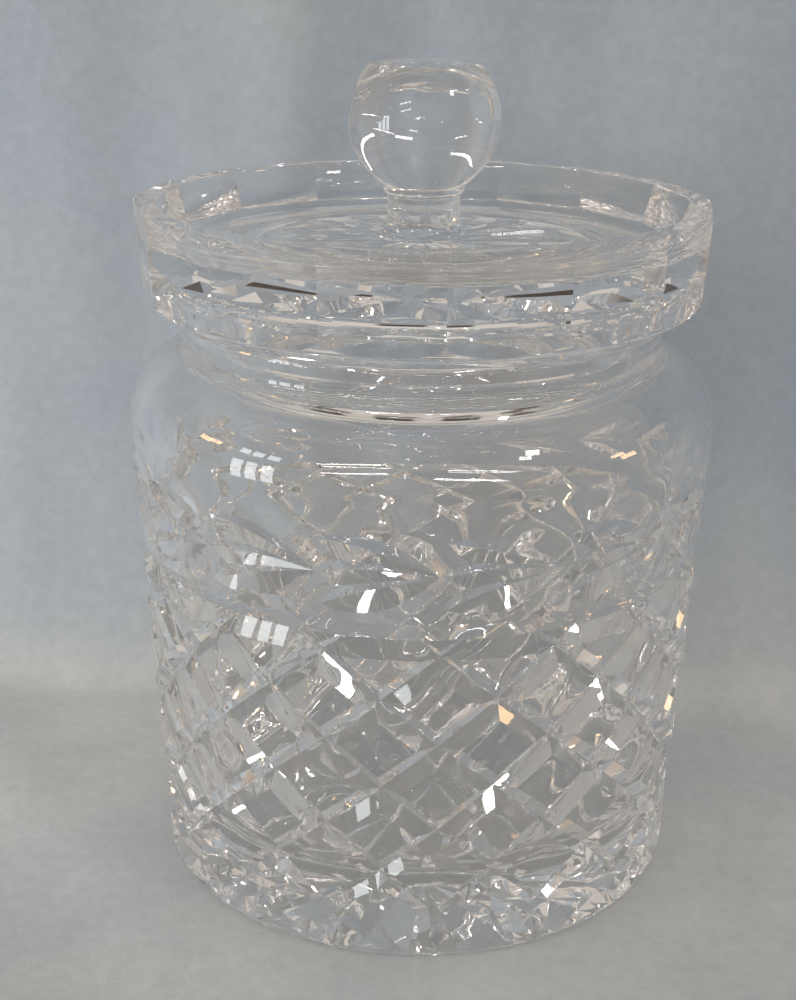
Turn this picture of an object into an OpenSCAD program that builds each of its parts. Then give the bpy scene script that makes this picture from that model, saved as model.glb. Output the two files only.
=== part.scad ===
// Cut-crystal biscuit jar: a blown and wheel-cut jar, a dish-shaped lid and
// the ball knob that is joined to the lid's stem.
// Origin: centre of the base, on the surface that the jar stands on. +Z is up.
// The front of the jar is -Y, and one column of the cut pattern faces it.

/* [Jar] */
// Height of the jar from the table to its mouth
jar_h = 127.4; // [118:0.2:150]
// Outer radius of the body at the table, before the foot is rounded
base_r = 59.6; // [57:0.2:62]
// Outer radius of the body where the shoulder starts
shoulder_r = 64.8; // [63:0.2:68]
// Radius of the arc that turns the wall in at the shoulder
shoulder_round = 16.5; // [14:0.5:18]
// Outer radius of the neck
neck_r = 52.4; // [51.4:0.2:54]
// Radius of the hollow blend between shoulder and neck
neck_blend = 3; // [2:0.5:4]
// Straight height of the neck above that blend
neck_h = 5.6; // [4:0.2:9]
// Thickness of the body wall
wall = 6; // [5.4:0.1:7]
// Thickness of the neck wall
neck_wall = 6; // [5:0.1:7]
// Thickness of the base
base_t = 13; // [10:0.5:18]
// Radius of the rounded edge at the foot
foot_round = 3; // [2:0.25:4]
// Radius of the rounded corner between inner wall and inner floor
inner_round = 12; // [8:0.5:16]
// Radius of the polished edges of the mouth
lip_round = 1.2; // [0.8:0.1:2]

/* [Cut pattern] */
// Number of times that the pattern repeats round the jar
repeats = 16; // [14:1:18]
// Height of the ring groove above the table
ring_z = 75.3; // [74:0.1:78]
// Full width of the ring groove
ring_w = 7.8; // [6:0.2:9]
// Depth of the ring groove
ring_depth = 2.1; // [1.9:0.1:2.6]
// Height from one row of diamond corners to the next
row_h = 10.1; // [9:0.1:10.6]
// Full width of the grooves between the diamonds, where they cross
groove_w = 3.9; // [3.2:0.1:4.6]
// Depth of the grooves between the diamonds, where they cross
groove_depth = 1.5; // [1.2:0.05:1.7]
// How much shallower the grooves of the second set are than those of the first
groove_step = 0.15; // [0.1:0.01:0.25]
// Height from the ring groove to the tips where three leaves meet
leaf_rise = 14.4; // [13.5:0.1:16]
// Height between the open ends of neighbouring leaves in a spray
leaf_spread = 7.2; // [5.5:0.1:8]
// Full width of a leaf at its middle
leaf_w = 6; // [4.5:0.1:6.4]
// Depth of a leaf at its middle
leaf_depth = 1.8; // [1.4:0.1:2.2]
// Plain glass left between the tips of leaves that meet
leaf_gap = 1.2; // [0.8:0.1:2]
// Height above the table of the arched tops of the flutes
flute_top = 29; // [27:0.2:31]
// Radius of the wheel that hollows the flutes
flute_wheel = 110; // [90:1:130]
// Depth of a flute at its middle
flute_depth = 1.7; // [1.5:0.05:1.9]

/* [Star cuts] */
// Depth of the star rays in the base
base_star_depth = 2.2; // [1.4:0.1:2.8]
// Full width of a star ray in the base at its deepest
base_star_w = 8.5; // [6:0.1:9]
// Radius at which the star rays in the base are deepest
base_star_belly = 46; // [40:0.5:48]
// Radius out to which the star rays in the base run
base_star_reach = 54; // [51:0.5:55]
// Depth of the star rays under the lid
lid_star_depth = 2; // [1.2:0.1:2.6]
// Full width of a star ray under the lid at its deepest
lid_star_w = 6.4; // [4.5:0.1:7]
// Radius at which the star rays under the lid are deepest
lid_star_belly = 29; // [24:0.5:30]
// Radius out to which the star rays under the lid run
lid_star_reach = 36; // [32:0.5:38]
// Radius of the plain centre of both stars
star_core = 3; // [2:0.25:5]

/* [Lid] */
// Radius of the lid over the corners of its panels
lid_r = 62.2; // [60.5:0.1:64]
// Height of the lid from its seat on the mouth to its rim
lid_h = 23.9; // [22.5:0.1:27]
// How far the lid's wall leans in from the rim down to its lower edge
lid_lean = 1.3; // [0.6:0.1:1.8]
// Radius of the rounded lower edge of the lid
lid_round = 4.5; // [3.5:0.25:5.5]
// Height of the rounded lower edge above the seat, before rounding
lid_edge_h = 4.2; // [3.6:0.1:5]
// Outer radius of the flat ring on which the lid rests
seat_r = 53.6; // [52.8:0.1:55]
// Thickness of the lid's wall at the rim
rim_t = 4.8; // [4:0.1:5.6]
// Depth of the dish below the rim
dish_depth = 7.9; // [7:0.1:9]
// Radius of the hollow corner of the dish
dish_round = 9.9; // [9.2:0.1:11]
// Thickness of glass between the dish and the hollow under it
lid_floor_t = 8; // [7:0.1:9]
// Depth of the ring under the lid that drops into the mouth
plug_h = 6; // [4:0.5:9]
// Radial thickness of that ring
plug_t = 5.8; // [5:0.1:7]
// Size of the bevel round the foot of that ring
plug_bevel = 1; // [0.5:0.1:1.5]
// Radius of the corner of the hollow inside that ring
hollow_round = 4; // [2:0.5:6]

/* [Knob] */
// Radius of the ball
ball_r = 16.3; // [14.5:0.1:18]
// Radius of the flat cut on top of the ball
crown_r = 11.6; // [9:0.1:12.4]
// Number of shallow facets round the top of the ball
crown_facets = 8; // [6:1:12]
// Depth of those facets
facet_depth = 0.5; // [0.3:0.05:0.8]
// Radius of the collar under the ball
collar_r = 8.7; // [8.3:0.1:9.4]
// Height of the collar under the ball
collar_h = 1.6; // [1.4:0.1:2.4]
// Radius of the stem on the lid
stem_r = 7.9; // [6.8:0.1:8.1]
// Height of the stem above the floor of the dish
stem_h = 9.2; // [8.4:0.1:12]
// Radius of the hollow blend at the foot of the stem
stem_blend = 3; // [2:0.25:4]

/* [Fits] */
// Clearance between the mouth of the jar and the seat of the lid
seat_gap = 0.2; // [0.1:0.05:0.4]
// Clearance all round between the mouth and the ring under the lid
plug_gap = 0.7; // [0.4:0.05:1.2]

/* [Hidden] */
$fn = 180;

pitch = 360 / repeats;
front = -90;
past = 1; // how far a cutter runs past the surface that it leaves
wide = 1.5; // how much wider than its panel or flute a cutter is
lattice_rows = 5;
lattice_run_out = 12; // the grooves fade out in the flutes

// The body is a steep cone that leans out by this angle.
neck_top = jar_h - neck_h;
shoulder_z = neck_top - sqrt(pow(shoulder_round + neck_blend, 2)
    - pow(neck_r + neck_blend - (shoulder_r - shoulder_round), 2));
lean = atan((shoulder_r - base_r) / shoulder_z);
function body_r(z) = base_r + z * tan(lean);

mouth_r = neck_r - neck_wall;
seat_z = jar_h + seat_gap;
rim_z = seat_z + lid_h;
dish_z = rim_z - dish_depth;
hollow_z = dish_z - lid_floor_t;
plug_r = mouth_r - plug_gap;
hollow_r = plug_r - plug_t;
stem_z = dish_z + stem_h;
ball_z = stem_z + collar_h + sqrt(pow(ball_r, 2) - pow(collar_r, 2));

// --- profiles, in the half plane right of the axis ---

// A bottle shape: rounded at the bottom, tapered side, round shoulder and a
// neck. Drawn inset from the outer side, so it serves outside and inside.
module bottle(inset, bottom, corner, neck, blend, top) {
    turn = shoulder_round - inset;
    pivot = [shoulder_r - shoulder_round * cos(lean), shoulder_z + shoulder_round * sin(lean)];
    corner_z = bottom + corner;
    corner_x = body_r(corner_z) - (inset + corner) / cos(lean);
    side = [cos(lean), -sin(lean)];
    blend_at = [neck + blend, pivot.y + sqrt(pow(turn + blend, 2) - pow(neck + blend - pivot.x, 2))];

    polygon([
        [0, bottom],
        [corner_x, bottom],
        [corner_x, corner_z] + corner * side,
        pivot + turn * side,
        pivot + [0, turn],
        [0, pivot.y + turn]
    ]);
    if (corner > 0) translate([corner_x, corner_z]) circle(corner);
    translate(pivot) circle(turn);
    translate([0, pivot.y]) square([neck, top - pivot.y]);
    difference() {
        polygon([pivot, blend_at, [min(pivot.x, neck), blend_at.y], [min(pivot.x, neck), pivot.y]]);
        translate(blend_at) circle(blend);
    }
}

// What has to go to round a convex corner that points right and up.
module corner_waste(x, y, r) {
    translate([x - r, y - r]) difference() {
        square(r + past);
        circle(r);
    }
}

// A V groove across the profile, as deep as depth at height z.
module ring_waste(z, w, depth) {
    slope = w / 2 / depth;
    reach = depth + past;
    at = body_r(z);
    polygon([
        [at - depth, z],
        [at - depth + reach, z + reach * slope],
        [at - depth + reach, z - reach * slope]
    ]);
}

// --- cutters, drawn on a flat at z = 0 and cutting down from above ---

// A straight V cut that runs along x. Its bottom is at depth, and it opens by
// spread on each side for each millimetre up, to above the flat.
module v_cut(from, to, depth, spread, above) {
    open = spread * (depth + above);
    translate([from, 0, 0]) rotate([90, 0, 90]) linear_extrude(to - from)
        polygon([[0, -depth], [open, above], [-open, above]]);
}

// The lens-shaped V cut that the edge of a round wheel leaves.
module wheel_cut(wheel, len, depth, spread) {
    sweep = 2 * asin((len / 2 + past) / wheel);
    reach = depth + past;
    translate([0, 0, wheel - depth]) rotate([90, 0, 0])
        rotate([0, 0, 270 - sweep / 2]) rotate_extrude(angle = sweep)
            polygon([[wheel, 0], [wheel - reach, reach * spread], [wheel - reach, -reach * spread]]);
}

// Moves a cutter to the side of the body: its x runs round the jar, its y up.
module on_body(column, z) {
    rotate([0, 0, front + column * pitch]) translate([body_r(z), 0, z])
        rotate([0, lean, 0]) rotate([90, 0, 90]) children();
}

// A point on the side of the body, or at a depth below it, and the way out.
function side_out(column) = [
    cos(front + column * pitch) * cos(lean),
    sin(front + column * pitch) * cos(lean),
    -sin(lean)
];
function side_point(column, z, depth) = [
    body_r(z) * cos(front + column * pitch),
    body_r(z) * sin(front + column * pitch),
    z
] - depth * side_out(column);

// A V cut whose bottom runs straight from one point to another.
module v_between(from, to, out, spread, above, run_in, run_out) {
    x = (to - from) / norm(to - from);
    y = cross(out, x) / norm(cross(out, x));
    z = cross(x, y);
    multmatrix([
        [x.x, y.x, z.x, from.x],
        [x.y, y.y, z.y, from.y],
        [x.z, y.z, z.z, from.z]
    ])
        v_cut(-run_in, norm(to - from) + run_out, 0, spread, above);
}

// Diamonds: grooves that slant down from the ring groove, all to the right
// (way = 1) or all to the left (way = -1). Each one runs straight from one
// crossing to the next, so it bends with the glass.
module lattice_cuts(way, depth) {
    for (row = [0 : lattice_rows - 1], k = [0 : repeats - 1]) {
        column = k + way * row / 2;
        top_z = ring_z - ring_w / 2 - row * row_h;
        v_between(side_point(column, top_z, depth),
            side_point(column + way / 2, top_z - row_h, depth),
            side_out(column + way / 4), groove_w / 2 / groove_depth, groove_depth + 2 * past,
            row == 0 ? ring_w / 2 : past, row == lattice_rows - 1 ? lattice_run_out : past);
    }
}

// Leaves: sprays of three that fan out to the left of each column. n is -1 for
// the lowest leaves, 0 for the middle ones and 1 for the highest.
module leaf_cuts(n) {
    tip_z = ring_z + leaf_rise;
    arm = 2 * PI / repeats * body_r(tip_z);
    rise = n * leaf_spread;
    len = norm([arm, rise]) - leaf_gap * (1 + abs(n));
    wheel = 1 / (8 * leaf_depth / (len * len) - 1 / body_r(tip_z));
    for (k = [0 : repeats - 1])
        on_body(k - 0.5, tip_z + rise / 2) rotate([0, 0, -atan(rise / arm)])
            wheel_cut(wheel, len, leaf_depth, leaf_w / 2 / leaf_depth);
}

// Flutes: hollows round the foot, with arched tops. The wheel's own seam is
// turned away from the glass.
module flute_cuts() {
    half = sqrt(2 * flute_wheel * flute_depth);
    w = wide * base_r * 2 * tan(pitch / 2);
    for (k = [0 : repeats - 1])
        on_body(k, flute_top - half) translate([0, 0, flute_wheel - flute_depth])
            rotate([0, -90, 0]) cylinder(r = flute_wheel, h = w, center = true);
}

// A star of V rays in a face that looks down at height z. The rays start at
// the plain centre, are deepest at the belly and end at reach.
module star_cuts(z, belly, reach, depth, w) {
    spread = w / 2 / depth;
    stations = [[star_core, 0], [belly, depth], [reach, 0]];
    last = len(stations) - 1;
    for (k = [0 : repeats - 1])
        rotate([0, 0, front + k * pitch]) translate([0, 0, z]) polyhedron(
            [for (s = stations, side = [0, -1, 1])
                [s.x, side * spread * (s.y + past), side == 0 ? s.y : -past]],
            concat(
                [[0, 1, 2], [3 * last, 3 * last + 2, 3 * last + 1]],
                [for (i = [0 : last - 1]) [3 * i, 3 * i + 3, 3 * i + 4, 3 * i + 1]],
                [for (i = [0 : last - 1]) [3 * i, 3 * i + 2, 3 * i + 5, 3 * i + 3]],
                [[for (i = [0 : last]) 3 * i + 1, for (i = [last : -1 : 0]) 3 * i + 2]]
            ));
}

// --- parts ---

module jar_blank() {
    rotate_extrude() difference() {
        bottle(0, 0, foot_round, neck_r, neck_blend, jar_h);
        ring_waste(ring_z, ring_w, ring_depth);
        corner_waste(neck_r, jar_h, lip_round);
    }
}

module jar_inside() {
    rotate_extrude() {
        bottle(wall, base_t, inner_round, mouth_r, neck_blend, jar_h + past);
        translate([2 * mouth_r, 0]) mirror([1, 0]) corner_waste(mouth_r, jar_h, lip_round);
    }
}

// The cuts are made one set after the other, and no two cuts of a set cross.
module jar_with_leaves() {
    difference() {
        difference() {
            difference() {
                jar_blank();
                leaf_cuts(-1);
            }
            leaf_cuts(0);
        }
        leaf_cuts(1);
    }
}

module jar_with_diamonds() {
    difference() {
        difference() {
            jar_with_leaves();
            lattice_cuts(1, groove_depth);
        }
        lattice_cuts(-1, groove_depth - groove_step);
    }
}

module jar() {
    color("gainsboro", 0.4) difference() {
        difference() {
            difference() {
                jar_with_diamonds();
                flute_cuts();
            }
            star_cuts(0, base_star_belly, base_star_reach, base_star_depth, base_star_w);
        }
        jar_inside();
    }
}

// The lid before its panels and star are cut: the wall and its rounded lower
// edge, the dish in the top, the stem, and the ring that drops into the mouth.
module lid_profile() {
    seat = [seat_r, seat_z];
    edge = [lid_r - lid_lean, seat_z + lid_edge_h];
    rim = [lid_r, rim_z];
    to_seat = (seat - edge) / norm(seat - edge);
    to_rim = (rim - edge) / norm(rim - edge);
    half_angle = acos(to_seat * to_rim) / 2;
    ease = lid_round / tan(half_angle);
    dish_x = lid_r - rim_t - dish_round;
    plug_z = seat_z - plug_h;

    difference() {
        union() {
            polygon([[0, seat.y], seat, edge + ease * to_seat, edge + ease * to_rim, rim, [0, rim.y]]);
            translate(edge + (to_seat + to_rim) * lid_round / sin(2 * half_angle)) circle(lid_round);
            polygon([
                [0, plug_z],
                [plug_r - plug_bevel, plug_z],
                [plug_r, plug_z + plug_bevel],
                [plug_r, seat.y],
                [0, seat.y]
            ]);
        }
        translate([0, dish_z]) square([dish_x, 2 * dish_round]);
        translate([dish_x, dish_z + dish_round]) circle(dish_round);
        translate([0, plug_z - past]) square([hollow_r, hollow_z - hollow_round - plug_z + past]);
        square([hollow_r - hollow_round, hollow_z]);
        translate([hollow_r - hollow_round, hollow_z - hollow_round]) circle(hollow_round);
    }
    translate([0, dish_z]) square([stem_r, stem_h]);
    translate([stem_r, dish_z]) difference() {
        square(stem_blend);
        translate([stem_blend, stem_blend]) circle(stem_blend);
    }
}

// Flat panels round the lid's wall. Their corners stay on the round wall, and
// they lean in with it.
module panel_cuts() {
    slope = lid_lean / (lid_h - lid_edge_h) * cos(pitch / 2);
    w = wide * lid_r * 2 * tan(pitch / 2);
    for (k = [0 : repeats - 1])
        rotate([0, 0, front + (k + 0.5) * pitch]) translate([lid_r * cos(pitch / 2), 0, rim_z])
            rotate([0, atan(slope), 0]) translate([0, -w / 2, -lid_h])
                cube([lid_round, w, lid_h + past]);
}

module lid() {
    color("gainsboro", 0.4) difference() {
        difference() {
            rotate_extrude() lid_profile();
            panel_cuts();
        }
        star_cuts(hollow_z, lid_star_belly, lid_star_reach, lid_star_depth, lid_star_w);
    }
}

module knob() {
    crown_z = sqrt(pow(ball_r, 2) - pow(crown_r, 2));
    facet_lift = (asin(crown_z / ball_r) - acos(1 - facet_depth / ball_r)) / 2;
    color("gainsboro", 0.4) difference() {
        union() {
            translate([0, 0, ball_z]) sphere(ball_r);
            translate([0, 0, stem_z]) cylinder(r = collar_r, h = collar_h);
        }
        translate([0, 0, ball_z + crown_z]) cylinder(r = ball_r, h = ball_r);
        translate([0, 0, stem_z - ball_r]) cylinder(r = ball_r, h = ball_r);
        for (k = [0 : crown_facets - 1])
            translate([0, 0, ball_z]) rotate([0, -facet_lift, k * 360 / crown_facets])
                translate([ball_r - facet_depth, -ball_r / 2, -ball_r / 2]) cube(ball_r);
    }
}

jar();
lid();
knob();
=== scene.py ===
"""Looks of the cut-crystal biscuit jar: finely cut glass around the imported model, and a small studio."""

import math

import bmesh
import bpy
from mathutils import Matrix, Vector


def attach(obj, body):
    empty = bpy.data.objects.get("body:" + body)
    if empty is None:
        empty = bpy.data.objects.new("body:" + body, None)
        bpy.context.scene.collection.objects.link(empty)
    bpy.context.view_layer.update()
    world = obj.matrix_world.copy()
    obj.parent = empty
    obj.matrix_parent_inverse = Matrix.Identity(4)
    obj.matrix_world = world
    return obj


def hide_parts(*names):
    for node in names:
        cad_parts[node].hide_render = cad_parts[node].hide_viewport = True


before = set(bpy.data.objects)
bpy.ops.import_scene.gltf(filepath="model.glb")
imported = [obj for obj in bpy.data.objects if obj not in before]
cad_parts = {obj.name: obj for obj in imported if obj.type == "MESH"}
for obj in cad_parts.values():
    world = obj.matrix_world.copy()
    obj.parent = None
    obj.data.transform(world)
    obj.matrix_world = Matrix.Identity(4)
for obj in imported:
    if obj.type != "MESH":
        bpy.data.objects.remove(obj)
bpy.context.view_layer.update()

# --- sizes, in millimetres and degrees unless a comment says otherwise ---

# metres in a millimetre
MM = 0.001
# how often the pattern repeats round the jar, and the direction of its first column
REPEATS = 16
PITCH = 360 / REPEATS
FRONT = -90.0

# the jar
JAR_H = 127.4
BASE_R = 59.6
SHOULDER_R = 64.78
SHOULDER_ROUND = 16.5
NECK_R = 52.4
NECK_BLEND = 3.0
NECK_H = 5.6
WALL = 6.0
NECK_WALL = 6.0
BASE_T = 13.0
FOOT_ROUND = 3.0
INNER_ROUND = 12.0
LIP_ROUND = 1.2

# waves of the inner wall: their height, the height over which they ease in and out, and for each wave its
# strength, its turns round the jar, its rise in a radian and where it starts in radians
INNER_WAVE = 0.22
WAVE_EASE = 8.0
WAVES = ((1.0, 15, 4.1, 1.1), (1.0, 19, -3.3, 0.4), (0.8, 9, 5.3, 0.0))
# distance between the rings of the inner wall
FILL_STEP = 1.5

# the cuts in the jar's side: ring groove, crossing grooves, leaves and flutes
RING_Z = 75.3
RING_W = 7.8
RING_DEPTH = 2.1
ROW_H = 10.1
ROWS = 5
GROOVE_W = 5.9
GROOVE_DEPTH = 2.4
GROOVE_RUN_OUT = 9.0
LEAF_RISE = 14.4
LEAF_SPREAD = 7.2
LEAF_W = 7.4
LEAF_DEPTH = 2.2
LEAF_GAP = 0.8
FLUTE_TOP = 29.0
FLUTE_WHEEL = 60.0
FLUTE_DEPTH = 1.35
# height above the table at which the flutes have faded out
FLUTE_FOOT = 0.6

# the stars of V rays under the jar and under the lid
STAR_CORE = 3.0
BASE_STAR_DEPTH = 2.2
BASE_STAR_W = 8.5
BASE_STAR_BELLY = 46.0
BASE_STAR_REACH = 54.0
LID_STAR_DEPTH = 2.0
LID_STAR_W = 6.4
LID_STAR_BELLY = 29.0
LID_STAR_REACH = 36.0

# the lid
LID_R = 62.2
LID_H = 23.9
LID_LEAN = 1.3
LID_ROUND = 4.5
LID_EDGE_H = 4.2
SEAT_R = 53.6
RIM_T = 4.8
RIM_ROUND = 0.6
DISH_DEPTH = 7.9
DISH_ROUND = 9.9
LID_FLOOR_T = 8.0
PLUG_H = 6.0
PLUG_T = 5.8
PLUG_BEVEL = 1.0
HOLLOW_ROUND = 4.0
HOLLOW_BEVEL = 0.4
SEAT_GAP = 0.2
PLUG_GAP = 0.7

# the knob on its stem
BALL_R = 16.3
CROWN_R = 11.6
CROWN_FACETS = 8
FACET_DEPTH = 0.5
COLLAR_R = 8.7
COLLAR_H = 1.6
COLLAR_ROUND = 0.5
STEM_R = 7.9
STEM_H = 9.2
STEM_BLEND = 3.0
SEAM_DEPTH = 0.5

# the meshes: sides of a revolved solid, and the angle above which an edge stays sharp
SEGMENTS = 20 * REPEATS
SHARP = 7
# metres below which points and edges count as one
TINY = 1e-7
# how far cutters run on past the glass
PAST = 1.0
RAY_PAST = 0.05
FACET_PAST = 5.0
# how much wider and longer than its flute or panel a cutter is
CUTTER_WIDE = 1.5
CUTTER_LONG = 1.2
# share of a leaf by which its cutter runs on past each tip
LEAF_PAST = 0.06

# what follows from them
PIVOT_R = SHOULDER_R - SHOULDER_ROUND
NECK_TOP = JAR_H - NECK_H
SHOULDER_Z = NECK_TOP - math.sqrt(
    (SHOULDER_ROUND + NECK_BLEND) ** 2 - (NECK_R + NECK_BLEND - PIVOT_R) ** 2
)
LEAN = math.atan((SHOULDER_R - BASE_R) / SHOULDER_Z)
MOUTH_R = NECK_R - NECK_WALL
SEAT_Z = JAR_H + SEAT_GAP
RIM_Z = SEAT_Z + LID_H
DISH_Z = RIM_Z - DISH_DEPTH
HOLLOW_Z = DISH_Z - LID_FLOOR_T
PLUG_R = MOUTH_R - PLUG_GAP
HOLLOW_R = PLUG_R - PLUG_T
STEM_Z = DISH_Z + STEM_H
BALL_Z = STEM_Z + COLLAR_H + math.sqrt(BALL_R ** 2 - COLLAR_R ** 2)
CROWN_Z = BALL_Z + math.sqrt(BALL_R ** 2 - CROWN_R ** 2)

# --- looks; a colour ramp is a row of (place, colour) stops ---

CRYSTAL_COLOUR = (0.985, 0.98, 0.975, 1)
CRYSTAL_IOR = 1.55
# wear: scale and detail of its noise, the noise at which it starts and is full, and its roughness
WEAR_NOISE = (300, 4)
WEAR_RANGE = (0.45, 0.8)
WEAR_ROUGHNESS = 0.012
# waves left by the fire polish: scale and detail, strength and depth in metres
POLISH_NOISE = (90, 1)
POLISH_BUMP = (0.25, 0.0003)

# colours of the cloth from the floor up to a height in metres: its own blue-grey where it hangs and grey
# where it lies, with painted light and shade in their brightness, lighter on the floor, darker at the bend
# just above it and darker towards the top
CLOTH_TOP = 0.2
CLOTH_TONE_AND_PAINTED_SHADE_STOPS = (
    (0.0, (0.59, 0.60, 0.59)),
    (0.04, (0.54, 0.565, 0.575)),
    (0.15, (0.52, 0.555, 0.585)),
    (0.5, (0.455, 0.50, 0.54)),
    (1.0, (0.395, 0.43, 0.465)),
)
# blotches, painted shade of the hanging folds in upright streaks, and threads: scale and detail of the
# noise, its scale along Z, and a ramp
CLOTH_TINTS_AND_PAINTED_FOLD_SHADE = (
    (11, 6, 1.0, ((0.35, (0.84, 0.87, 0.92)), (0.65, (1.0, 0.985, 0.96)))),
    (30, 3, 0.12, ((0.35, (0.92, 0.93, 0.94)), (0.65, (1.0, 1.0, 1.0)))),
    (320, 6, 1.0, ((0.3, (0.94, 0.94, 0.94)), (0.7, (1.04, 1.04, 1.04)))),
)
# painted shade, darker towards the front and towards the right: axis, two places on it in metres and the
# tints there
CLOTH_PAINTED_SHADE = (("Y", -0.2, 0.02, 0.82, 1.0), ("X", -0.12, 0.16, 1.0, 0.95))
CLOTH_ROUGHNESS = 0.95
WEAVE_NOISE = (1400, 2)
WEAVE_BUMP = (0.35, 0.0004)
# painted light: share and strength of a glow that lifts the cloth's shadows where the camera sees it,
# directly or in the glass
CLOTH_GLOW = 0.35
CLOTH_GLOW_STRENGTH = 0.84

# the cloth's path: front edge, start and radius of the bend behind the jar, height and lean above it
CLOTH_FRONT = -420
BEND_AT = 63
BEND_R = 15
CLOTH_H = 290
CLOTH_LEAN = 5
# its half width, its columns, and how far the bend swings back with every millimetre of x
CLOTH_HALF_W = 700
CLOTH_COLUMNS = 420
CLOTH_ASKEW = -0.131
# folds where it hangs: depth, millimetres in a radian across and up, start in radians, and a sway with
# its size in radians and its millimetres in a radian
FOLDS = ((0.5, 4.7, 60, 0.0, 1.7, 41), (2.0, 11, -90, 0.6, 0.8, 53), (5.0, 37, 160, 2.2, 0.0, 53))
# place in y where that swing starts, and the distance over which it grows
ASKEW_FROM = -60
ASKEW_OVER = 120
# half the depth of the dents where it lies, and half that of the long swells under them
DENT_DEPTH = 0.8
SWELL_DEPTH = 1.6
# height over which the folds grow, radius of the flat under the jar, and width over which the dents grow
FOLDS_GROW = 60
FLAT_R = 66
DENTS_GROW = 40
# how far the cloth lies below the foot
CLOTH_DROP = 0.02

# the room's colours from straight down to straight up, and those of the dark patch behind the cloth
ROOM_STRENGTH = 1.12
ROOM_STOPS = (
    (0.0, (0.28, 0.21, 0.16)),
    (0.40, (0.28, 0.21, 0.16)),
    (0.52, (0.42, 0.345, 0.28)),
    (0.75, (0.52, 0.465, 0.41)),
    (1.0, (0.58, 0.55, 0.51)),
)
BEHIND_STOPS = (
    (0.0, (0.03, 0.022, 0.015)),
    (0.5, (0.015, 0.02, 0.014)),
    (1.0, (0.06, 0.04, 0.03)),
)
# soft edges of that patch, as parts of a direction: in Y from none to full, and in X either way
BEHIND_Y = (0.25, 0.3)
BEHIND_X = (0.17, 0.13)

# lamps: name, both ends and width in metres, radiance and colour
TUBES = (
    ("tube_1", (-1.5, -1.53, 1.1), (-0.45, -1.46, 1.1), 0.03, 28, (1.0, 0.95, 0.93)),
    ("tube_2", (-2.0, -2.3, 0.91), (-0.56, -1.9, 0.91), 0.035, 28, (1.0, 0.96, 0.96)),
    ("tube_3", (0.23, -1.9, 1.11), (1.56, -2.3, 1.11), 0.035, 28, (1.0, 0.95, 0.93)),
    ("tube_4", (0.06, -2.38, 0.81), (1.96, -3.64, 0.81), 0.045, 28, (1.0, 0.96, 0.96)),
)
SIDE_LAMPS = (
    ("hatch", (1.3, -1.35, 1.5), (1.3, -1.2, 1.75), 0.2, 15, (1.0, 0.98, 0.94)),
    ("lamp_left", (-1.1, 0.0, 0.45), (-1.1, 0.12, 0.45), 0.08, 14, (1.0, 0.55, 0.22)),
    ("lamp_right", (1.1, -0.3, 0.3), (1.1, -0.16, 0.3), 0.08, 14, (1.0, 0.62, 0.3)),
)
# the window, 1 m away on the left: direction of its first column of panes and the step to the next,
# the lower and upper edges of the panes in metres, and their width, radiance and colour
WINDOW_TURN = -60
WINDOW_STEP = -6.8
WINDOW_COLUMNS = 3
PANES = (("window", -0.14, 0.28), ("transom", 0.42, 0.52))
PANE_W = 0.085
PANE_RADIANCE = 8
WINDOW_COLOUR = (0.92, 0.97, 1.0)
# the light that the window adds on the cloth alone
FILL_W = 0.2
FILL_RADIANCE = 7
# height in metres at which every lamp is aimed
AIM_Z = 0.09

BOUNCES = 32
CLAMP = 30.0


def body_r(z):
    """Outer radius of the jar's body at height z."""
    return BASE_R + z * math.tan(LEAN)


# --- camera; its place is in metres ---

CAMERA_AT = Vector((-0.02542, -0.34210, 0.20575))
CAMERA_ROUND = -4.25
CAMERA_PAN = -0.824
CAMERA_DIP = 19.788
CAMERA_ROLL = 0.526
IMAGE_W = 796
IMAGE_H = 1000
FOCAL_PX = 1585.6
SENSOR_MM = 36.0


def make_camera():
    """The camera, from above and a little to the left of the first column."""
    pan, dip, roll = (math.radians(a) for a in (CAMERA_PAN - CAMERA_ROUND, CAMERA_DIP, CAMERA_ROLL))
    look = Vector((math.sin(pan) * math.cos(dip), math.cos(pan) * math.cos(dip), -math.sin(dip)))
    side = look.cross(Vector((0, 0, 1))).normalized()
    right = Matrix.Rotation(-roll, 3, look) @ side
    axes = Matrix((right, right.cross(look), -look)).transposed()
    data = bpy.data.cameras.new("camera")
    data.sensor_width = SENSOR_MM
    data.lens = FOCAL_PX * SENSOR_MM / max(IMAGE_W, IMAGE_H)
    camera = bpy.data.objects.new("camera", data)
    camera.matrix_world = Matrix.Translation(CAMERA_AT) @ axes.to_4x4()
    bpy.context.scene.collection.objects.link(camera)
    bpy.context.scene.camera = camera


# --- meshes ---

def arc(centre, radius, start, end, steps):
    """Points along an arc, at angles in degrees from +x towards +y."""
    turns = (math.radians(start + (end - start) * i / steps) for i in range(steps + 1))
    return [(centre[0] + radius * math.cos(a), centre[1] + radius * math.sin(a)) for a in turns]


def add_object(name, points, faces):
    """A mesh object from points in millimetres."""
    mesh = bpy.data.meshes.new(name)
    mesh.from_pydata([Vector(p) * MM for p in points], [], faces)
    mesh.validate()
    thing = bpy.data.objects.new(name, mesh)
    bpy.context.scene.collection.objects.link(thing)
    return thing


def revolve(name, profile):
    """A closed solid from a profile that starts and ends on the axis, bottom first, outside next."""
    points, faces, rings = [], [], []
    for r, z in profile:
        if r == 0:
            rings.append([len(points)])
            points.append((0, 0, z))
            continue
        rings.append(list(range(len(points), len(points) + SEGMENTS)))
        for i in range(SEGMENTS):
            a = math.radians(FRONT) + 2 * math.pi * i / SEGMENTS
            points.append((r * math.cos(a), r * math.sin(a), z))
    for low, high in zip(rings, rings[1:]):
        for i in range(SEGMENTS):
            j = (i + 1) % SEGMENTS
            if len(low) == 1:
                faces.append((low[0], high[j], high[i]))
            elif len(high) == 1:
                faces.append((low[i], low[j], high[0]))
            else:
                faces.append((low[i], low[j], high[j], high[i]))
    return add_object(name, points, faces)


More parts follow.
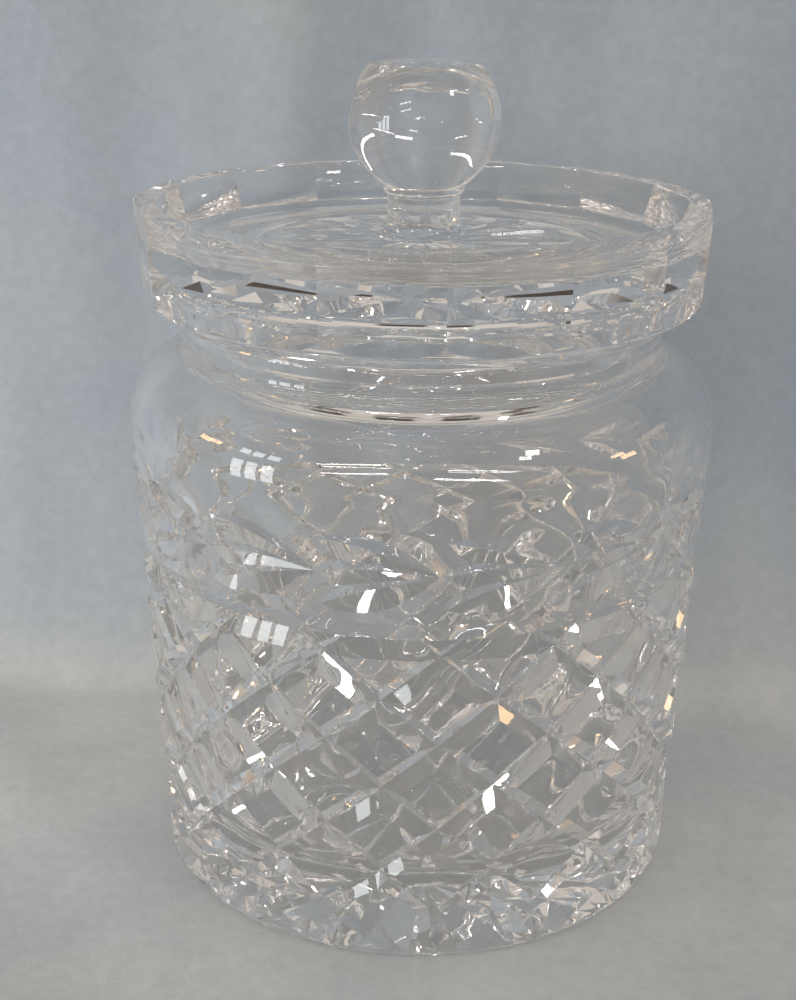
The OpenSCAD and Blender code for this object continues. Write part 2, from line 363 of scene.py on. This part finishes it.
def loft(name, stations):
    """A closed solid through stations, each a list of the same number of points."""
    count = len(stations[0])
    points = [p for station in stations for p in station]
    faces = [tuple(reversed(range(count))), tuple(range(len(points) - count, len(points)))]
    for s in range(len(stations) - 1):
        for i in range(count):
            j = (i + 1) % count
            a, b = s * count, (s + 1) * count
            faces.append((a + i, a + j, b + j, b + i))
    thing = add_object(name, points, faces)
    fix_normals(thing)
    return thing


def fix_normals(thing):
    """Turns every face of a closed mesh outwards."""
    bm = bmesh.new()
    bm.from_mesh(thing.data)
    bmesh.ops.recalc_face_normals(bm, faces=bm.faces)
    bm.to_mesh(thing.data)
    bm.free()


def join(name, things):
    """One object that holds the meshes of several closed solids."""
    bm = bmesh.new()
    for thing in things:
        bm.from_mesh(thing.data)
    mesh = bpy.data.meshes.new(name)
    bm.to_mesh(mesh)
    bm.free()
    for thing in things:
        old = thing.data
        bpy.data.objects.remove(thing)
        bpy.data.meshes.remove(old)
    joined = bpy.data.objects.new(name, mesh)
    bpy.context.scene.collection.objects.link(joined)
    return joined


def cut(solid, cutters):
    """Takes each cutter out of the solid and removes the cutter."""
    for cutter in cutters:
        boolean = solid.modifiers.new("cut", "BOOLEAN")
        boolean.operation = "DIFFERENCE"
        boolean.solver = "MANIFOLD"
        boolean.object = cutter
        bpy.context.view_layer.update()
        evaluated = solid.evaluated_get(bpy.context.evaluated_depsgraph_get())
        mesh = bpy.data.meshes.new_from_object(evaluated)
        solid.modifiers.clear()
        old = solid.data
        mesh.name = old.name
        solid.data = mesh
        bpy.data.meshes.remove(old)
        gone = cutter.data
        bpy.data.objects.remove(cutter)
        bpy.data.meshes.remove(gone)


def crease(solid, degrees):
    """Smooth shading that breaks at every edge sharper than this."""
    bm = bmesh.new()
    bm.from_mesh(solid.data)
    bmesh.ops.remove_doubles(bm, verts=bm.verts, dist=2 * TINY)
    bmesh.ops.dissolve_degenerate(bm, dist=TINY, edges=bm.edges)
    limit = math.radians(degrees)
    for face in bm.faces:
        face.smooth = True
    for edge in bm.edges:
        edge.smooth = len(edge.link_faces) == 2 and edge.calc_face_angle(0) < limit
    bm.to_mesh(solid.data)
    bm.free()


# --- cutters ---

def side_frame(column, z):
    """Point on the jar's side, and its directions to the right, up and out."""
    a = math.radians(FRONT + column * PITCH)
    at = Vector((body_r(z) * math.cos(a), body_r(z) * math.sin(a), z))
    right = Vector((-math.sin(a), math.cos(a), 0))
    up = Vector((math.cos(a) * math.sin(LEAN), math.sin(a) * math.sin(LEAN), math.cos(LEAN)))
    return at, right, up, right.cross(up)


def side_cut(name, path, depths, spread):
    """A V cut in the jar's side along a path of (column, z), with its depth at each point."""
    frames = [side_frame(column, z) for column, z in path]
    stations = []
    for i, (at, right, up, out) in enumerate(frames):
        along = frames[min(i + 1, len(frames) - 1)][0] - frames[max(i - 1, 0)][0]
        along = (along - out * along.dot(out)).normalized()
        across = out.cross(along)
        width = spread * (depths[i] + PAST)
        top = at + out * PAST
        stations.append([at - out * depths[i], top + across * width, top - across * width])
    return loft(name, stations)


def lattice_cutters():
    """Crossing grooves from the ring groove down into the flutes."""
    top = RING_Z - RING_W / 2
    start, end = RING_Z, top - ROWS * ROW_H - GROOVE_RUN_OUT
    steps = 42
    depths = [GROOVE_DEPTH] * (steps + 1)
    spread = GROOVE_W / 2 / GROOVE_DEPTH
    sets = {1: [], -1: []}
    for way in sets:
        for k in range(REPEATS):
            path = []
            for i in range(steps + 1):
                z = start + (end - start) * i / steps
                path.append((k + way * (top - z) / ROW_H / 2, z))
            sets[way].append(side_cut("groove", path, depths, spread))
    return [join("grooves_right", sets[1]), join("grooves_left", sets[-1])]


def leaf_cutters():
    """Sprays of three leaves that fan out to the left from each column."""
    tip_z = RING_Z + LEAF_RISE
    arm = 2 * math.pi / REPEATS * body_r(tip_z)
    steps = 24
    rows = []
    for n in (-1, 0, 1):
        leaves = []
        rise = n * LEAF_SPREAD
        share = LEAF_GAP * (1 + abs(n)) / 2 / math.hypot(arm, rise)
        for k in range(REPEATS):
            path, depths = [], []
            for i in range(steps + 1):
                t = -LEAF_PAST + (1 + 2 * LEAF_PAST) * i / steps
                run = share + (1 - 2 * share) * t
                path.append((k - run, tip_z + rise * run))
                depths.append(LEAF_DEPTH * leaf_form(t))
            leaves.append(side_cut("leaf", path, depths, LEAF_W / 2 / LEAF_DEPTH))
        rows.append(join("leaves", leaves))
    return rows


def leaf_form(t):
    """Depth along a leaf: nothing at the tips at 0 and 1, and full a little past the middle."""
    if t < 0 or t > 1:
        return 4 * t * (1 - t)
    return 4 * t * (1 - t) * (0.8 + 0.4 * t)


def flute_cutters():
    """Hollows round the foot, arched at the top as the rim of a wheel grinds them, fading at the foot."""
    half = math.sqrt(2 * FLUTE_WHEEL * FLUTE_DEPTH)
    fade = FLUTE_TOP - half - FLUTE_FOOT
    wide = CUTTER_WIDE * BASE_R * math.tan(math.radians(PITCH / 2))
    sets = [[], []]
    steps = 28
    for k in range(REPEATS):
        at, right, up, out = side_frame(k, FLUTE_TOP - half)
        stations = []
        for i in range(steps + 1):
            y = half * CUTTER_LONG * (2 * i / steps - 1)
            rise = y * y / 2 / FLUTE_WHEEL if y > 0 else (y / fade) ** 2 * FLUTE_DEPTH
            low = rise - FLUTE_DEPTH
            row = at + up * y
            stations.append([
                row + out * low - right * wide,
                row + out * low + right * wide,
                row + out * (PAST + 1) + right * wide,
                row + out * (PAST + 1) - right * wide,
            ])
        sets[k % 2].append(loft("flute", stations))
    return [join("flutes", each) for each in sets]


def star_cutters(z, belly, reach, deep, w):
    """V rays cut up into a face that looks down at height z, deepest at belly and ending at reach."""
    rays = []
    for k in range(REPEATS):
        a = math.radians(FRONT + k * PITCH)
        out, side = Vector((math.cos(a), math.sin(a), 0)), Vector((-math.sin(a), math.cos(a), 0))
        stations = []
        for r, depth in ((STAR_CORE - PAST, -RAY_PAST), (belly, deep), (reach, -RAY_PAST)):
            low = out * r + Vector((0, 0, z))
            width = w / 2 / deep * (depth + PAST)
            stations.append([
                low + Vector((0, 0, depth)),
                low + side * width - Vector((0, 0, PAST)),
                low - side * width - Vector((0, 0, PAST)),
            ])
        rays.append(loft("ray", stations))
    return rays


# --- the jar ---

def bottle(inset, bottom, corner, neck, top):
    """The bottle's profile, inset from the outer side: bottom, corner, side, shoulder, and neck to top."""
    turn = SHOULDER_ROUND - inset
    lean = math.degrees(LEAN)
    pivot_x = PIVOT_R + SHOULDER_ROUND * (1 - math.cos(LEAN))
    pivot_z = SHOULDER_Z + SHOULDER_ROUND * math.sin(LEAN)
    corner_z = bottom + corner
    corner_x = body_r(corner_z) - (inset + corner) / math.cos(LEAN)
    blend_x = neck + NECK_BLEND
    blend_z = pivot_z + math.sqrt((turn + NECK_BLEND) ** 2 - (blend_x - pivot_x) ** 2)
    meet = math.degrees(math.atan2(blend_z - pivot_z, blend_x - pivot_x))
    return (
        [(0, bottom)]
        + arc((corner_x, corner_z), corner, -90, -lean, 20 if corner > 5 else 10)
        + arc((pivot_x, pivot_z), turn, -lean, meet, 26)
        + arc((blend_x, blend_z), NECK_BLEND, 180 + meet, 180, 12)[1:]
        + [(neck, top)]
    )


def ring_groove():
    """The V of the ring groove, from its lower edge up."""
    slope = RING_W / 2 / RING_DEPTH
    at = body_r(RING_Z)
    below = RING_DEPTH / (1 + slope * math.tan(LEAN))
    above = RING_DEPTH / (1 - slope * math.tan(LEAN))
    bottom = at - RING_DEPTH
    return [
        (bottom + below, RING_Z - below * slope),
        (bottom, RING_Z),
        (bottom + above, RING_Z + above * slope),
    ]


def fill_in(profile, low, high):
    """The profile with more points along its long straight lines between two heights."""
    line = profile[:1]
    for (r0, z0), (r1, z1) in zip(profile, profile[1:]):
        inside = low < z0 < z1 < high + PAST
        steps = math.ceil(math.hypot(r1 - r0, z1 - z0) / FILL_STEP) if inside else 1
        line += [(r0 + (r1 - r0) * i / steps, z0 + (z1 - z0) * i / steps) for i in range(1, steps + 1)]
    return line


def make_wavy(jar):
    """Gives the inner wall the soft waves of blown glass, between its floor and the shoulder."""
    low, high = BASE_T + 1, SHOULDER_Z
    for vertex in jar.data.vertices:
        x, y, z = vertex.co / MM
        r, a = math.hypot(x, y), math.atan2(y, x)
        if z < low or z > high or r > body_r(z) - WALL / 2:
            continue
        ease = min((z - low) / WAVE_EASE, (high - z) / WAVE_EASE, 1)
        wave = sum(size * math.sin(turns * a + z / rise + start) for size, turns, rise, start in WAVES)
        swell = INNER_WAVE * ease * wave
        vertex.co.x *= 1 + swell / r
        vertex.co.y *= 1 + swell / r


def make_jar():
    """The jar as one solid of glass with all its cuts."""
    outer = bottle(0, 0, FOOT_ROUND, NECK_R, JAR_H)
    split = next(i for i, p in enumerate(outer) if p[1] > RING_Z)
    outer[split:split] = ring_groove()
    outer = outer[:-1] + arc((NECK_R - LIP_ROUND, JAR_H - LIP_ROUND), LIP_ROUND, 0, 90, 6)
    inner = fill_in(bottle(WALL, BASE_T, INNER_ROUND, MOUTH_R, JAR_H), BASE_T, SHOULDER_Z)
    lip = arc((MOUTH_R + LIP_ROUND, JAR_H - LIP_ROUND), LIP_ROUND, 90, 180, 6)
    jar = revolve("cut_glass_jar", outer + lip + inner[:-1][::-1])
    make_wavy(jar)
    cut(jar, lattice_cutters())
    cut(jar, leaf_cutters())
    cut(jar, flute_cutters())
    cut(jar, star_cutters(0, BASE_STAR_BELLY, BASE_STAR_REACH, BASE_STAR_DEPTH, BASE_STAR_W))
    crease(jar, SHARP)
    return jar


# --- the lid and its knob ---

def lid_profile():
    """The lid with its stem, collar and ball, from the hollow's centre out, round and up to the crown."""
    seat = Vector((SEAT_R, SEAT_Z))
    edge = Vector((LID_R - LID_LEAN, SEAT_Z + LID_EDGE_H))
    rim = Vector((LID_R, RIM_Z))
    to_seat, to_rim = (seat - edge).normalized(), (rim - edge).normalized()
    half = to_seat.angle(to_rim) / 2
    centre = edge + (to_seat + to_rim).normalized() * LID_ROUND / math.sin(half)
    first = edge + to_seat * LID_ROUND / math.tan(half) - centre
    last = edge + to_rim * LID_ROUND / math.tan(half) - centre
    first, last = (math.degrees(math.atan2(v.y, v.x)) for v in (first, last))
    dish_x = LID_R - RIM_T - DISH_ROUND
    lip = math.degrees(math.asin((RIM_Z - RIM_ROUND - DISH_Z - DISH_ROUND) / DISH_ROUND))
    rim_in = dish_x + DISH_ROUND * math.cos(math.radians(lip))
    plug_z = SEAT_Z - PLUG_H
    seam = SEAM_DEPTH / 2
    ball_from = -math.degrees(math.acos(COLLAR_R / BALL_R))
    ball_to = math.degrees(math.acos(CROWN_R / BALL_R))
    return (
        [(0, HOLLOW_Z)]
        + arc((HOLLOW_R - HOLLOW_ROUND, HOLLOW_Z - HOLLOW_ROUND), HOLLOW_ROUND, 90, 0, 12)
        + [(HOLLOW_R, plug_z + HOLLOW_BEVEL), (HOLLOW_R + HOLLOW_BEVEL, plug_z)]
        + [(PLUG_R - PLUG_BEVEL, plug_z), (PLUG_R, plug_z + PLUG_BEVEL)]
        + [(PLUG_R, SEAT_Z), (SEAT_R, SEAT_Z)]
        + arc(centre, LID_ROUND, first, last, 16)
        + arc((LID_R - RIM_ROUND, RIM_Z - RIM_ROUND), RIM_ROUND, 0, 90, 5)
        + arc((rim_in + RIM_ROUND, RIM_Z - RIM_ROUND), RIM_ROUND, 90, 180, 5)
        + arc((dish_x, DISH_Z + DISH_ROUND), DISH_ROUND, lip, -90, 24)[1:]
        + arc((STEM_R + STEM_BLEND, DISH_Z + STEM_BLEND), STEM_BLEND, 270, 180, 12)
        + [(STEM_R, STEM_Z - seam), (STEM_R - SEAM_DEPTH, STEM_Z)]
        + arc((COLLAR_R - COLLAR_ROUND, STEM_Z + COLLAR_ROUND), COLLAR_ROUND, -90, 0, 5)
        + [(COLLAR_R, STEM_Z + COLLAR_H)]
        + arc((0, BALL_Z), BALL_R, ball_from, ball_to, 40)[1:]
        + [(0, CROWN_Z)]
    )


def box_cutter(name, middle, axes, size):
    """A box from the middle of its inner face, with its axes (out, side, up) and its size along them."""
    out, side, up = axes
    stations = []
    for s in (-1, 1):
        row = middle + side * (s * size.y / 2)
        stations.append([
            row - up * size.z / 2,
            row + out * size.x - up * size.z / 2,
            row + out * size.x + up * size.z / 2,
            row + up * size.z / 2,
        ])
    return loft(name, stations)


def panel_cutters():
    """The flat panels round the lid's wall."""
    half = math.radians(PITCH / 2)
    slope = math.atan(LID_LEAN / (LID_H - LID_EDGE_H) * math.cos(half))
    cutters = []
    for k in range(REPEATS):
        a = math.radians(FRONT + (k + 0.5) * PITCH)
        flat = Vector((math.cos(a), math.sin(a), 0))
        out = flat * math.cos(slope) - Vector((0, 0, math.sin(slope)))
        up = flat * math.sin(slope) + Vector((0, 0, math.cos(slope)))
        middle = flat * LID_R * math.cos(half) + Vector((0, 0, RIM_Z))
        axes = (out, Vector((-math.sin(a), math.cos(a), 0)), up)
        size = Vector((LID_ROUND, 2 * CUTTER_WIDE * LID_R * math.tan(half), 2 * LID_H))
        cutters.append(box_cutter("panel", middle, axes, size))
    return cutters


def crown_cutters():
    """Shallow facets round the top of the ball."""
    lift = (math.asin((CROWN_Z - BALL_Z) / BALL_R) - math.acos(1 - FACET_DEPTH / BALL_R)) / 2
    cutters = []
    for k in range(CROWN_FACETS):
        a = 2 * math.pi * k / CROWN_FACETS
        flat = Vector((math.cos(a), math.sin(a), 0))
        out = flat * math.cos(lift) + Vector((0, 0, math.sin(lift)))
        up = Vector((0, 0, math.cos(lift))) - flat * math.sin(lift)
        middle = Vector((0, 0, BALL_Z)) + out * (BALL_R - FACET_DEPTH)
        axes = (out, Vector((-math.sin(a), math.cos(a), 0)), up)
        cutters.append(box_cutter("facet", middle, axes, Vector((FACET_PAST, BALL_R, BALL_R))))
    return cutters


def make_lid():
    """The lid and its knob as one solid of glass."""
    lid = revolve("cut_glass_lid", lid_profile())
    cut(lid, panel_cutters())
    cut(lid, crown_cutters())
    cut(lid, star_cutters(HOLLOW_Z, LID_STAR_BELLY, LID_STAR_REACH, LID_STAR_DEPTH, LID_STAR_W))
    crease(lid, SHARP)
    return lid


# --- materials ---

def new_material(name):
    """A material with its nodes, links and main shader."""
    material = bpy.data.materials.new(name)
    material.use_nodes = True
    nodes = material.node_tree.nodes
    return material, nodes, material.node_tree.links, nodes["Principled BSDF"]


def noise(nodes, links, source, scale, detail):
    """A noise between 0 and 1 over the vector source."""
    node = nodes.new("ShaderNodeTexNoise")
    node.inputs["Scale"].default_value = scale
    node.inputs["Detail"].default_value = detail
    links.new(source, node.inputs["Vector"])
    return node.outputs["Fac"]


def ramp(nodes, links, source, stops):
    """A colour ramp over source, from (place, colour) stops."""
    node = nodes.new("ShaderNodeValToRGB")
    elements = node.color_ramp.elements
    while len(elements) < len(stops):
        elements.new(0.5)
    for element, (place, colour) in zip(elements, stops):
        element.position = place
        element.color = (*colour, 1)
    links.new(source, node.inputs["Fac"])
    return node.outputs["Color"]


def map_range(nodes, links, source, start, end, low=0, high=1):
    """Source carried over from the range start to end to the range low to high."""
    node = nodes.new("ShaderNodeMapRange")
    for name, value in (("From Min", start), ("From Max", end), ("To Min", low), ("To Max", high)):
        node.inputs[name].default_value = value
    links.new(source, node.inputs["Value"])
    return node.outputs["Result"]


def combine(nodes, links, operation, *sources):
    """The result of a maths operation on its sources."""
    node = nodes.new("ShaderNodeMath")
    node.operation = operation
    for source, socket in zip(sources, node.inputs):
        links.new(source, socket)
    return node.outputs[0]


def mix_colours(nodes, links, one, other, share=None):
    """Two colours mixed by share or, without a share, multiplied with each other."""
    node = nodes.new("ShaderNodeMix")
    node.data_type = "RGBA"
    if share is None:
        node.blend_type = "MULTIPLY"
        node.inputs["Factor"].default_value = 1
    else:
        links.new(share, node.inputs[0])
    links.new(one, node.inputs[6])
    links.new(other, node.inputs[7])
    return node.outputs[2]


def add_bump(nodes, links, shader, height, strength, depth):
    """Gives the shader relief from a height between 0 and 1, with its depth in metres."""
    bump = nodes.new("ShaderNodeBump")
    bump.inputs["Strength"].default_value = strength
    bump.inputs["Distance"].default_value = depth
    links.new(height, bump.inputs["Height"])
    links.new(bump.outputs["Normal"], shader.inputs["Normal"])


def crystal():
    """Polished lead crystal: faint waves from the fire polish, and a little wear."""
    material, nodes, links, shader = new_material("crystal")
    shader.inputs["Base Color"].default_value = CRYSTAL_COLOUR
    shader.inputs["Transmission Weight"].default_value = 1
    shader.inputs["IOR"].default_value = CRYSTAL_IOR
    where = nodes.new("ShaderNodeTexCoord").outputs["Object"]
    wear = noise(nodes, links, where, *WEAR_NOISE)
    rough = map_range(nodes, links, wear, *WEAR_RANGE, 0, WEAR_ROUGHNESS)
    links.new(rough, shader.inputs["Roughness"])
    add_bump(nodes, links, shader, noise(nodes, links, where, *POLISH_NOISE), *POLISH_BUMP)
    return material


def cloth():
    """Washed cotton for the floor and the backdrop: blue-grey where it hangs, greyer where it lies, with
    painted light and shade in its colour and a glow that lifts its shadows.
    """
    material, nodes, links, shader = new_material("cloth")
    shader.inputs["Roughness"].default_value = CLOTH_ROUGHNESS
    where = nodes.new("ShaderNodeTexCoord").outputs["Object"]
    split = nodes.new("ShaderNodeSeparateXYZ")
    links.new(where, split.inputs[0])
    height = map_range(nodes, links, split.outputs["Z"], 0, CLOTH_TOP)
    # the cloth's own hue, with painted light and shade by height
    colour = ramp(nodes, links, height, CLOTH_TONE_AND_PAINTED_SHADE_STOPS)
    # random blotches and threads, and painted shade of the folds in upright streaks
    for scale, detail, upright, stops in CLOTH_TINTS_AND_PAINTED_FOLD_SHADE:
        stretch = nodes.new("ShaderNodeMapping")
        stretch.inputs["Scale"].default_value = (1, 1, upright)
        links.new(where, stretch.inputs["Vector"])
        patches = noise(nodes, links, stretch.outputs["Vector"], scale, detail)
        colour = mix_colours(nodes, links, colour, ramp(nodes, links, patches, stops))
    # painted shade by place on the cloth, darker towards the front and towards the right
    for axis, *places in CLOTH_PAINTED_SHADE:
        painted_shade = map_range(nodes, links, split.outputs[axis], *places)
        colour = mix_colours(nodes, links, colour, painted_shade)
    links.new(colour, shader.inputs["Base Color"])
    add_bump(nodes, links, shader, noise(nodes, links, where, *WEAVE_NOISE), *WEAVE_BUMP)
    lift_shade(nodes, links, shader, colour)
    return material


def lift_shade(nodes, links, shader, colour):
    """Lightens the cloth's shadows where the camera sees it, directly or in the glass."""
    path = nodes.new("ShaderNodeLightPath")
    seen = path.outputs["Is Camera Ray"]
    for name in ("Is Glossy Ray", "Is Transmission Ray"):
        seen = combine(nodes, links, "MAXIMUM", seen, path.outputs[name])
    share = map_range(nodes, links, seen, 0, 1, 0, CLOTH_GLOW)
    # painted light: the cloth glows, though it is no lamp
    glow = nodes.new("ShaderNodeEmission")
    glow.inputs["Strength"].default_value = CLOTH_GLOW_STRENGTH
    links.new(colour, glow.inputs["Color"])
    mix = nodes.new("ShaderNodeMixShader")
    for source, socket in zip((share, shader.outputs[0], glow.outputs[0]), mix.inputs):
        links.new(source, socket)
    links.new(mix.outputs[0], nodes["Material Output"].inputs["Surface"])


# --- the studio ---

def cloth_line():
    """The cloth's section as points of (y, z): from the front along the floor, then up behind the jar."""
    lean = math.radians(CLOTH_LEAN)
    flat_steps, rise_steps = 120, 60
    line = [(CLOTH_FRONT + (BEND_AT - CLOTH_FRONT) * i / flat_steps, 0) for i in range(flat_steps)]
    line += arc((BEND_AT, BEND_R), BEND_R, -90, -CLOTH_LEAN, 12)
    y, z = line[-1]
    for i in range(1, rise_steps + 1):
        up = CLOTH_H * i / rise_steps
        line.append((y + math.sin(lean) * up, z + math.cos(lean) * up))
    return line


def share_of(value, start, width):
    """How far value has come from start over a width: 0 before it, 1 beyond it."""
    return min(max((value - start) / width, 0), 1)


def fold(x, z):
    """How far the hanging cloth lies in front of its plain path, where its folds are full."""
    return sum(
        depth * math.sin(x / across + z / up + start + sway * math.sin(x / slow))
        for depth, across, up, start, sway, slow in FOLDS
    )


def dent(x, y):
    """How far the lying cloth sinks, where its dents are full: small dents on long swells."""
    small = 1 + math.sin(x / 9 + 1.3 * math.sin(y / 23)) * math.sin(y / 12 + x / 31)
    swell = 1 + math.sin(x / 29 + y / 17 + 0.8)
    return DENT_DEPTH * small + SWELL_DEPTH * swell


def make_sweep(material):
    """A cloth that lies under the jar and rises close behind it, with soft folds."""
    points, faces = [], []
    for y, z in cloth_line():
        rise = share_of(z, 0, FOLDS_GROW)
        turned = CLOTH_ASKEW * share_of(y, ASKEW_FROM, ASKEW_OVER)
        for i in range(CLOTH_COLUMNS + 1):
            x = -CLOTH_HALF_W + 2 * CLOTH_HALF_W * i / CLOTH_COLUMNS
            far = share_of(math.hypot(x, y), FLAT_R, DENTS_GROW) * (1 - rise)
            points.append((x, y + turned * x - rise * fold(x, z), z - CLOTH_DROP - far * dent(x, y)))
    row = CLOTH_COLUMNS + 1
    for r in range(len(points) // row - 1):
        for i in range(CLOTH_COLUMNS):
            a = r * row + i
            faces.append((a, a + 1, a + row + 1, a + row))
    sweep = add_object("sweep", points, faces)
    for face in sweep.data.polygons:
        face.use_smooth = True
    sweep.data.materials.append(material)


def add_lamp(name, start, end, width, radiance, colour):
    """A flat lamp between two points in metres that faces the jar, with the radiance that it shows."""
    start, end = Vector(start), Vector(end)
    middle = (start + end) / 2
    along = (end - start).normalized()
    away = (middle - Vector((0, 0, AIM_Z))).normalized()
    across = away.cross(along).normalized()
    data = bpy.data.lights.new(name, "AREA")
    data.shape = "RECTANGLE"
    data.size, data.size_y = (end - start).length, width
    data.energy = radiance * math.pi * data.size * data.size_y
    data.color = colour
    lamp = bpy.data.objects.new(name, data)
    axes = Matrix((along, across, along.cross(across))).transposed()
    lamp.matrix_world = Matrix.Translation(middle) @ axes.to_4x4()
    bpy.context.scene.collection.objects.link(lamp)
    return lamp


def window_lamp(name, column, low, high, width, radiance):
    """An upright lamp in the window, hidden from rays that come through glass. Column may be a fraction."""
    turn = math.radians(WINDOW_TURN + WINDOW_STEP * column)
    at = Vector((math.sin(turn), -math.cos(turn), 0))
    ends = (at + Vector((0, 0, low)), at + Vector((0, 0, high)))
    lamp = add_lamp(name, *ends, width, radiance, WINDOW_COLOUR)
    lamp.visible_transmission = False
    return lamp


def make_lights():
    """Ceiling tubes, a window of panes and transoms, a hatch in the roof, and a warm lamp on each side."""
    for tube in TUBES:
        add_lamp(*tube)
    for column in range(WINDOW_COLUMNS):
        for part, low, high in PANES:
            window_lamp(f"{part}_{column}", column, low, high, PANE_W, PANE_RADIANCE)
    middle = (WINDOW_COLUMNS - 1) / 2
    fill = window_lamp("window_fill", middle, PANES[0][1], PANES[-1][2], FILL_W, FILL_RADIANCE)
    fill.visible_glossy = False
    for lamp in SIDE_LAMPS:
        add_lamp(*lamp)


def make_world():
    """A plain pale room in front of the cloth and above it, and unlit dark behind the cloth."""
    world = bpy.data.worlds.new("room")
    bpy.context.scene.world = world
    world.use_nodes = True
    nodes, links = world.node_tree.nodes, world.node_tree.links
    split = nodes.new("ShaderNodeSeparateXYZ")
    links.new(nodes.new("ShaderNodeTexCoord").outputs["Generated"], split.inputs[0])
    height = map_range(nodes, links, split.outputs["Z"], -1, 1)
    room = ramp(nodes, links, height, ROOM_STOPS)
    dark = ramp(nodes, links, height, BEHIND_STOPS)
    off_axis = combine(nodes, links, "ABSOLUTE", split.outputs["X"])
    share = combine(
        nodes, links, "MULTIPLY",
        map_range(nodes, links, split.outputs["Y"], *BEHIND_Y),
        map_range(nodes, links, off_axis, *BEHIND_X),
    )
    background = nodes["Background"]
    links.new(mix_colours(nodes, links, room, dark, share), background.inputs["Color"])
    background.inputs["Strength"].default_value = ROOM_STRENGTH


# --- all together ---

make_camera()
jar = make_jar()
lid = make_lid()
glass = crystal()
for piece, body, nodes in ((jar, "jar", ("jar",)), (lid, "lid", ("lid", "knob"))):
    piece.data.materials.clear()
    piece.data.materials.append(glass)
    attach(piece, body)
    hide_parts(*nodes)
make_sweep(cloth())
make_world()
make_lights()
scene = bpy.context.scene
scene.view_settings.view_transform = "Standard"
scene.cycles.max_bounces = BOUNCES
scene.cycles.transmission_bounces = BOUNCES
scene.cycles.glossy_bounces = BOUNCES
scene.cycles.sample_clamp_indirect = CLAMP
